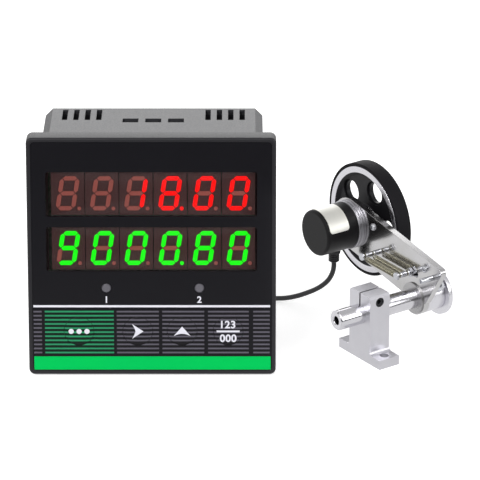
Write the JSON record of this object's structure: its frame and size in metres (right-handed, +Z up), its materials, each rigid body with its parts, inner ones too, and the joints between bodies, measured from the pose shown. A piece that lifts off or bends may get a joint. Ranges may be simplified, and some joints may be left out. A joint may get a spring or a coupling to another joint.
{
  "type": "cable length counter",
  "caption": "Panel length counter with a square dark face, lit display and round keys, wired to a sprung measuring wheel that drives an encoder on a clamped shaft.",
  "frame": {"origin": "middle of the support block's bottom face, on the bench", "axes": "+Z up, -Y the way the counter's display faces, +X from the counter to the wheel unit"},
  "size_m": [0.2491, 0.1556, 0.1444],
  "materials": {
    "bezel_plastic": "moulded ABS, fine grain",
    "face_plastic": "smooth dark film",
    "tinted_lens": "brown-red tinted lens",
    "green_print": "green printed bar",
    "key_plastic": "embossed film dome",
    "lamp_lens": "grey diffuse lens",
    "digit_body": "dark reflector",
    "red_light": "lit red segment",
    "green_light": "lit green segment",
    "dark_segment": "unlit segment",
    "switch_plastic": "black phenolic",
    "circuit_board": "solder mask",
    "core_steel": "laminated core",
    "relay_plastic": "blue relay housing",
    "case_plastic": "moulded ABS, fine grain",
    "terminal_plastic": "black phenolic",
    "screw_steel": "bright zinc plate",
    "block_aluminium": "machined, fine satin",
    "shaft_steel": "ground and hard chromed",
    "plate_metal": "polished plate",
    "bush_bronze": "plain bearing bronze",
    "spring_steel": "bright spring wire",
    "encoder_black": "satin black",
    "label_foil": "bare silver foil",
    "wheel_black": "black anodised",
    "tyre_rubber": "smooth moulded rubber",
    "cable_jacket": "smooth PVC jacket"
  },
  "bodies": {
    "root": {"front_bezel": "bezel_plastic", "face_plate": "face_plastic", "upper_window": "tinted_lens", "lower_window": "tinted_lens", "keypad_film": "face_plastic", "accent_strip": "green_print", "status_lamps": "lamp_lens", "upper_digit_modules": "digit_body", "lower_digit_modules": "digit_body", "upper_lit_segments": "red_light", "lower_lit_segments": "green_light", "unlit_segments": "dark_segment", "key_switches": "switch_plastic", "display_board": "circuit_board", "processor_board": "circuit_board", "power_board": "circuit_board", "board_links": "switch_plastic", "transformer": "core_steel", "relays": "relay_plastic", "case": "case_plastic", "rear_cover": "case_plastic", "terminal_blocks": "terminal_plastic", "terminal_screws": "screw_steel", "cover_screws": "screw_steel", "support_block": "block_aluminium", "block_screw": "screw_steel", "shaft": "shaft_steel", "tension_collar": "block_aluminium", "collar_screw": "screw_steel", "retaining_disc": "block_aluminium", "retaining_screw": "screw_steel", "anchor_stud": "screw_steel", "anchor_nut": "screw_steel", "encoder_cable": "cable_jacket", "cable_coil": "cable_jacket", "cable_tail": "cable_jacket"},
    "arm": {"arm_plate": "plate_metal", "arm_bush": "bush_bronze", "spring_post": "screw_steel", "stop_stud": "screw_steel", "front_spring": "spring_steel", "rear_spring": "spring_steel", "plate_screws": "screw_steel", "encoder_flange": "block_aluminium", "encoder_cover": "encoder_black", "encoder_label": "label_foil", "front_bearing": "screw_steel", "rear_bearing": "screw_steel", "sensor_board": "circuit_board", "cable_gland": "encoder_black"},
    "wheel": {"encoder_axle": "shaft_steel", "code_disc": "shaft_steel", "wheel_disc": "wheel_black", "wheel_rim": "block_aluminium", "tyre": "tyre_rubber", "wheel_screw": "screw_steel"},
    "set_key": {"set_key": "key_plastic"},
    "right_key": {"right_key": "key_plastic"},
    "up_key": {"up_key": "key_plastic"},
    "reset_key": {"reset_key": "key_plastic"}
  },
  "joints": [
    {"name": "arm_swing", "type": "hinge", "parent": "root", "child": "arm", "pos_m": [0, 0, 0.029], "axis": [0.8192, 0.5736, 0], "range_deg": [-15, 0], "stiffness_Nm_per_rad": 0.5, "springref_deg": 28.65, "deforming": ["front_spring", "rear_spring", "encoder_cable"]},
    {"name": "wheel_spin", "type": "hinge", "parent": "arm", "child": "wheel", "pos_m": [-0.03682, 0.05259, 0.05429], "axis": [0.8192, 0.5736, 0], "continuous": true},
    {"name": "set_key_press", "type": "slide", "parent": "root", "child": "set_key", "axis": [0, 0.9952, -0.0982], "range_m": [0, 0.00035], "stiffness_N_per_m": 400, "springref_m": -0.0005},
    {"name": "right_key_press", "type": "slide", "parent": "root", "child": "right_key", "axis": [0, 0.9952, -0.0982], "range_m": [0, 0.00035], "stiffness_N_per_m": 400, "springref_m": -0.0005},
    {"name": "up_key_press", "type": "slide", "parent": "root", "child": "up_key", "axis": [0, 0.9952, -0.0982], "range_m": [0, 0.00035], "stiffness_N_per_m": 400, "springref_m": -0.0005},
    {"name": "reset_key_press", "type": "slide", "parent": "root", "child": "reset_key", "axis": [0, 0.9952, -0.0982], "range_m": [0, 0.00035], "stiffness_N_per_m": 400, "springref_m": -0.0005}
  ]
}
